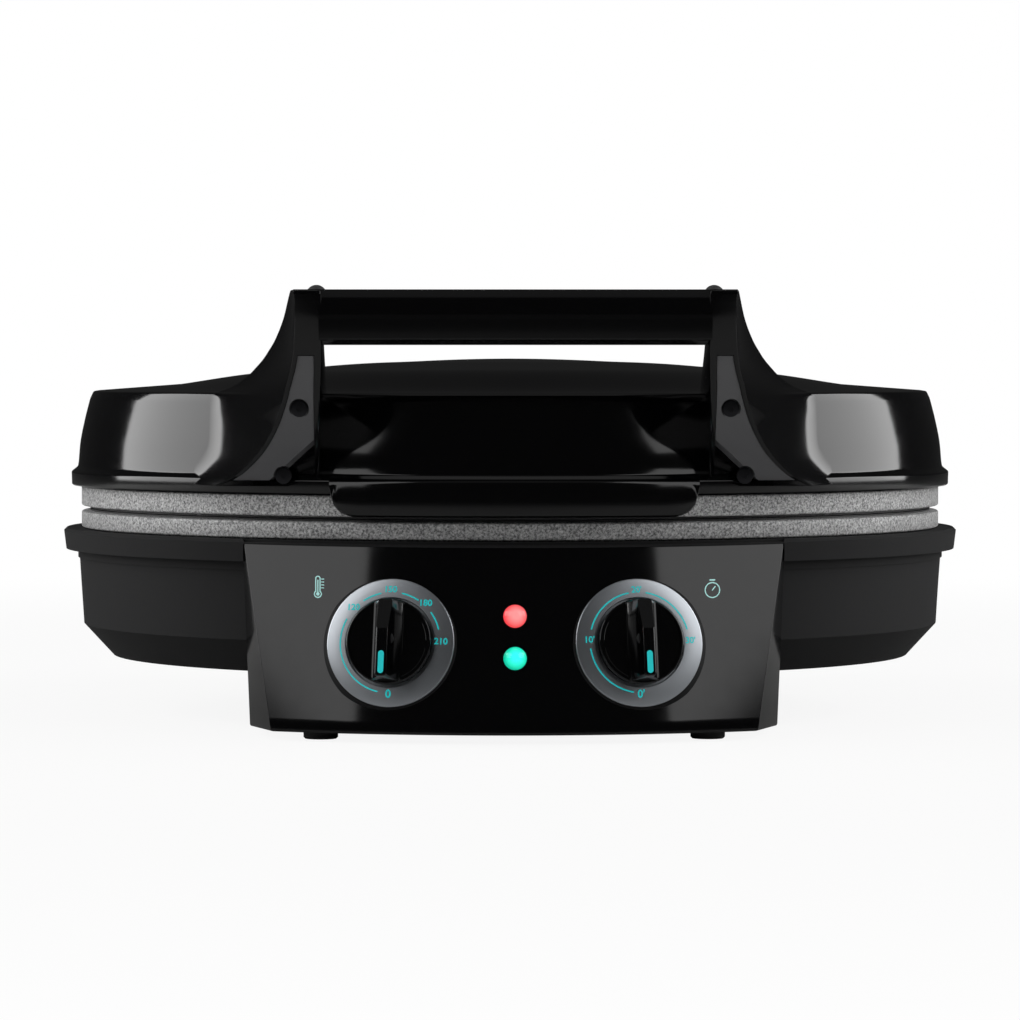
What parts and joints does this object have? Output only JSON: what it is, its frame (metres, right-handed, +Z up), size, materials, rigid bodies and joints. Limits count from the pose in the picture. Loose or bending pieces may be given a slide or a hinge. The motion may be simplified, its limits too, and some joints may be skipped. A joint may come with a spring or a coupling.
{
  "type": "electric pizza oven",
  "caption": "Countertop electric pizza oven: round bowl base with a two-dial control housing, two coated plates and a domed lid with a bar handle that hinges fully open.",
  "frame": {"origin": "on the table under the middle of the oven, which is the axis of the bowl and plates", "axes": "+Z up, front with the dials and handle towards -Y, hinge line along X at the rear"},
  "size_m": [0.3332, 0.379, 0.1565],
  "materials": {
    "gloss_black": "polished moulded ABS",
    "satin_black": "satin moulded polypropylene",
    "insert_grey": "fine-textured moulding",
    "stone_coating": "speckled non-stick coating on cast aluminium",
    "rubber_black": "matt",
    "dial_silver": "satin with printed scale",
    "knob_black": "polished",
    "pointer_teal": "semi-gloss",
    "red_lens": "clear tinted dome",
    "green_lens": "clear tinted dome",
    "steel": "zinc plated",
    "hinge_steel": "black powder coat",
    "element_sheath": "heat-dulled sheath",
    "reflector_sheet": "mill finish sheet",
    "phenolic_brown": "moulded phenolic",
    "ceramic_ivory": "moulded",
    "copper": "drawn copper",
    "wire_sleeve": "glass-braid silicone sleeve"
  },
  "bodies": {
    "base": {"base_bowl": "satin_black", "base_wiring": "wire_sleeve", "control_base_cover": "satin_black", "control_cover_screws": "steel", "control_housing": "gloss_black", "control_screws": "steel", "cord_gland": "satin_black", "front_feet": "rubber_black", "green_lamp_lens": "green_lens", "hinge_bracket_left": "hinge_steel", "hinge_bracket_right": "hinge_steel", "hinge_bracket_screws": "steel", "hinge_pin_left": "steel", "hinge_pin_right": "steel", "lamp_holder": "phenolic_brown", "left_dial_ring": "dial_silver", "lower_element_clips": "steel", "lower_heating_element": "element_sheath", "lower_plate": "stone_coating", "lower_plate_screws": "steel", "lower_reflector": "reflector_sheet", "rear_base_cover": "satin_black", "rear_cover_screws": "steel", "rear_feet": "rubber_black", "rear_housing": "satin_black", "red_lamp_lens": "red_lens", "right_dial_ring": "dial_silver", "terminal_block": "ceramic_ivory", "thermal_fuse": "ceramic_ivory", "thermostat_body": "phenolic_brown", "thermostat_bulb": "copper", "timer_body": "phenolic_brown", "wire_elbow": "satin_black"},
    "lid": {"lid_cover": "gloss_black", "handle_bar": "gloss_black", "handle_screws": "steel", "handle_feet": "rubber_black", "arm_insert_left": "insert_grey", "arm_insert_right": "insert_grey", "insert_screws": "steel", "upper_plate": "stone_coating", "upper_plate_screws": "steel", "upper_heating_element": "element_sheath", "upper_element_clips": "steel", "upper_reflector": "reflector_sheet", "upper_reflector_screws": "steel", "lid_hinge_arm_right": "hinge_steel", "lid_hinge_arm_left": "hinge_steel", "lid_hinge_screws": "steel", "wire_barrel": "satin_black", "lid_wiring": "wire_sleeve"},
    "left_knob": {"left_knob": "knob_black", "left_knob_pointer": "pointer_teal", "thermostat_shaft": "steel"},
    "right_knob": {"right_knob": "knob_black", "right_knob_pointer": "pointer_teal", "timer_shaft": "steel"}
  },
  "joints": [
    {"name": "lid_hinge", "type": "hinge", "parent": "base", "child": "lid", "pos_m": [0, 0.176, 0.0784], "axis": [-1, 0, 0], "range_deg": [0, 180]},
    {"name": "thermostat_turn", "type": "hinge", "parent": "base", "child": "left_knob", "pos_m": [-0.0424, -0.16728, 0.034], "axis": [0.1869, 0.9613, -0.2023], "range_deg": [0, 270]},
    {"name": "timer_turn", "type": "hinge", "parent": "base", "child": "right_knob", "pos_m": [0.0424, -0.16728, 0.034], "axis": [-0.1869, 0.9613, -0.2023], "range_deg": [0, 270]}
  ]
}
